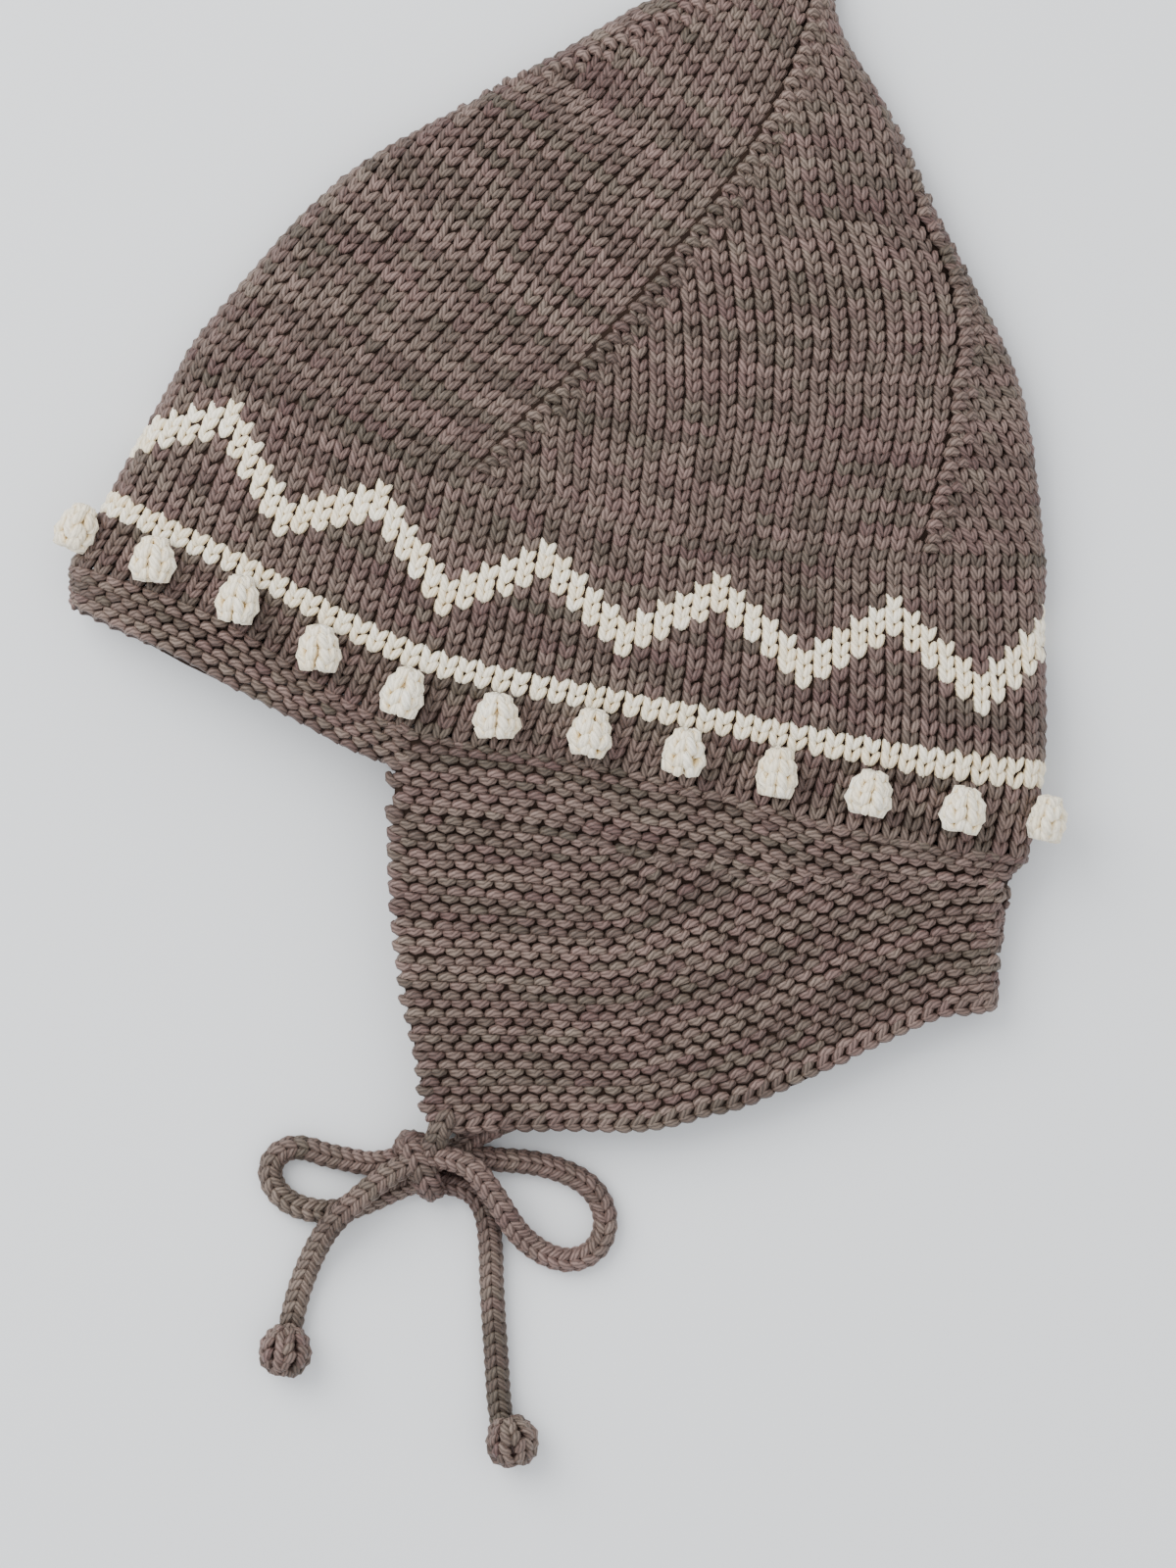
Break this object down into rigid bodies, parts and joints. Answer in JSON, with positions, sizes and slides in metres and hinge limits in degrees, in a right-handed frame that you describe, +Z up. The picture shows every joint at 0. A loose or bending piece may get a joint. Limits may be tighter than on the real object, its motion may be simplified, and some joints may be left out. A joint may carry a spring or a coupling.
{
  "type": "baby bonnet",
  "caption": "Hand-knitted pointed baby bonnet with garter stitch earflaps, a band over the forehead, a zigzag pattern, bobble trim and knitted ties in a bow, folded flat on its side.",
  "frame": {"origin": "on the surface that the bonnet lies on, under the middle of its box without the ties", "axes": "+X from the face opening to the nape, +Y from the ties to the tip of the crown, +Z up from the surface, through both layers"},
  "size_m": [0.2258, 0.3434, 0.0334],
  "materials": {
    "taupe_wool": "soft hand-knitted wool, matt with a slight fuzz, slightly uneven in tone",
    "cream_wool": "soft hand-knitted wool, matt, undyed"
  },
  "bodies": {
    "root": {"bobble_01": "cream_wool", "bobble_02": "cream_wool", "bobble_03": "cream_wool", "bobble_04": "cream_wool", "bobble_05": "cream_wool", "bobble_06": "cream_wool", "bobble_07": "cream_wool", "bobble_08": "cream_wool", "bobble_09": "cream_wool", "bobble_10": "cream_wool", "bobble_11": "cream_wool", "bobble_12": "cream_wool", "bobble_13": "cream_wool", "bobble_14": "cream_wool", "bobble_15": "cream_wool", "bobble_16": "cream_wool", "bobble_17": "cream_wool", "bobble_18": "cream_wool", "bobble_19": "cream_wool", "bobble_20": "cream_wool", "bobble_21": "cream_wool", "bobble_22": "cream_wool", "bow_knot": "taupe_wool", "crown": "taupe_wool", "ear_flap": "taupe_wool", "front_band": "taupe_wool", "loop_left": "taupe_wool", "loop_right": "taupe_wool", "tail_left": "taupe_wool", "tail_right": "taupe_wool", "tie_bobble_left": "taupe_wool", "tie_bobble_right": "taupe_wool", "tie_far": "taupe_wool", "tie_near": "taupe_wool"}
  },
  "joints": []
}
